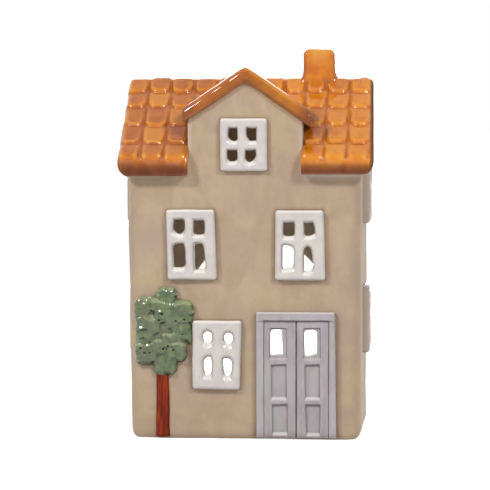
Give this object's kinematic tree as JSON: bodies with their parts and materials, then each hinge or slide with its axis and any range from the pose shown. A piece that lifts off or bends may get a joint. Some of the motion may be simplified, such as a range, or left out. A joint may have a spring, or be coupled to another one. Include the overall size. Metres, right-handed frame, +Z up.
{
  "type": "house-shaped tealight holder",
  "caption": "Glazed ceramic town house with pierced windows, a tiled roof and an open back, which holds a tealight and lets its light out.",
  "frame": {"origin": "middle of the base, on the surface that the holder stands on", "axes": "+Z up, -Y out of the front with the door, +X to the right as seen from the front"},
  "size_m": [0.109, 0.084, 0.1705],
  "materials": {
    "clay_glaze": "glossy",
    "roof_glaze": "glossy",
    "white_glaze": "glossy",
    "grey_glaze": "glossy",
    "bark_glaze": "glossy",
    "leaf_glaze": "glossy",
    "cup_metal": "satin",
    "wax": "satin",
    "wick_cotton": "matte",
    "clip_metal": "satin"
  },
  "bodies": {
    "house": {"house_walls": "clay_glaze", "floor_plate": "clay_glaze", "main_roof": "roof_glaze", "dormer_roof": "roof_glaze", "chimney": "roof_glaze", "window_attic": "white_glaze", "window_upper_left": "white_glaze", "window_upper_right": "white_glaze", "window_ground": "white_glaze", "window_right_lower": "white_glaze", "window_right_upper": "white_glaze", "window_left_lower": "white_glaze", "window_left_upper": "white_glaze", "door_frame": "grey_glaze", "door_leaf_left": "grey_glaze", "door_leaf_right": "grey_glaze", "tree_trunk": "bark_glaze", "tree_crown": "leaf_glaze"},
    "tealight": {"tealight_cup": "cup_metal", "tealight_wax": "wax", "tealight_wick": "wick_cotton", "tealight_wick_clip": "clip_metal"}
  },
  "joints": [
    {"name": "tealight_slide", "type": "slide", "parent": "house", "child": "tealight", "axis": [0, 1, 0], "range_m": [0, 0.064]}
  ]
}
